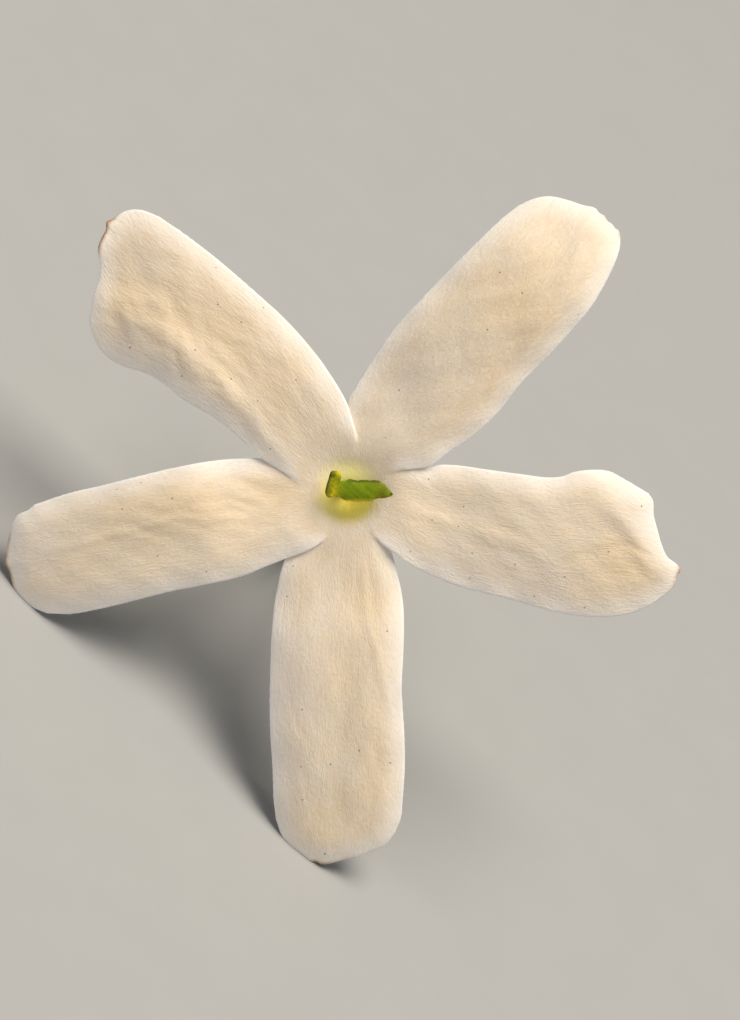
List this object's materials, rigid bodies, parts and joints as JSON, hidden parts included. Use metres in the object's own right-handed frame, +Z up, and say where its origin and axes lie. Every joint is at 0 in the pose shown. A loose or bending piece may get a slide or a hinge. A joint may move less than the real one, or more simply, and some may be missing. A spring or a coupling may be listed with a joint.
{
  "type": "jasmine flower",
  "caption": "Open white jasmine flower with its tube, pistil, stamens, toothed calyx and short stalk, lying on two petal tips and the stalk's cut end.",
  "frame": {"origin": "on the surface that the flower lies on, under the middle of its outline box", "axes": "+X to the right as the flower's face is seen, +Y away from the viewer along the tube's slope, +Z up; the face looks along -Y and about 30 degrees up"},
  "size_m": [0.0368, 0.0302, 0.0322],
  "materials": {
    "petals": "matte",
    "pistil": "satin",
    "stamens": "matte",
    "calyx": "satin"
  },
  "bodies": {
    "root": {"corolla": "petals", "pistil": "pistil", "stamen_1": "stamens", "stamen_2": "stamens", "calyx": "calyx"}
  },
  "joints": []
}
